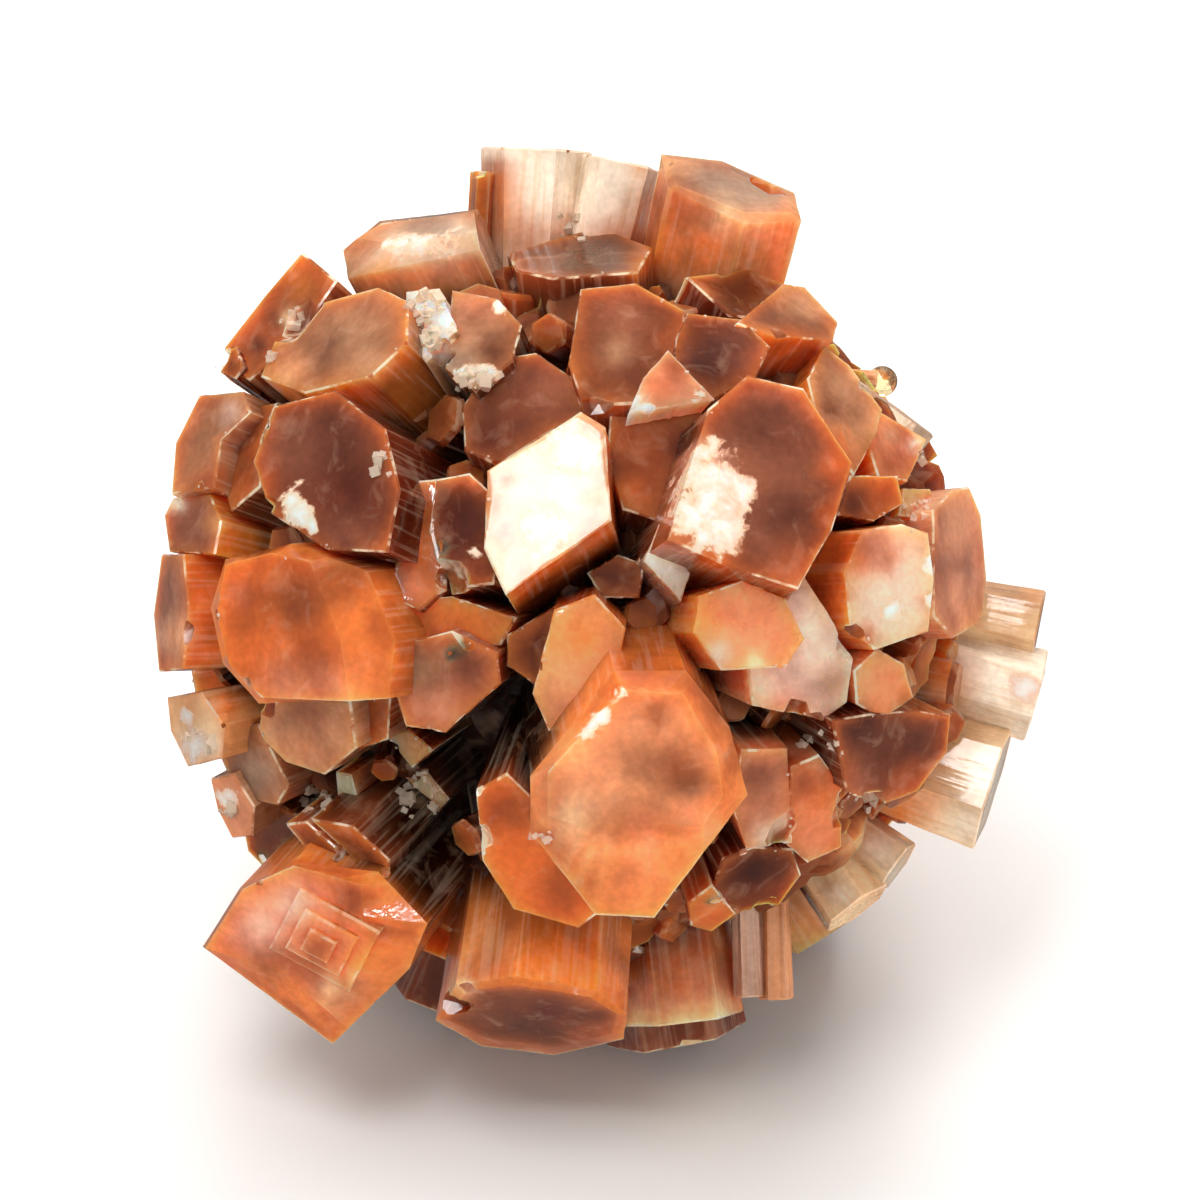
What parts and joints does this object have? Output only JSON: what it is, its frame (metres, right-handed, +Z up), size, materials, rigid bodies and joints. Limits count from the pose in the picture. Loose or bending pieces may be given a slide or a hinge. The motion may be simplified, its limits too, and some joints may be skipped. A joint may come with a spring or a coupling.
{
  "type": "aragonite crystal cluster",
  "caption": "Ball of stubby, flat-ended aragonite crystals grown outwards from one middle, stained orange, rust and mauve with pale tips.",
  "frame": {"origin": "middle of the flat crystal end that the cluster stands on, on the surface it stands on", "axes": "+Z up; -Y towards the side with the largest crystals, seen best from about 35 degrees above the horizon; +X to the right of that view"},
  "size_m": [0.0461, 0.0499, 0.0444],
  "materials": {
    "crystal": "translucent mineral with a satin to glassy surface, orange to rust brown, cream at the tips"
  },
  "bodies": {
    "root": {"crystal_cluster": "crystal"}
  },
  "joints": []
}
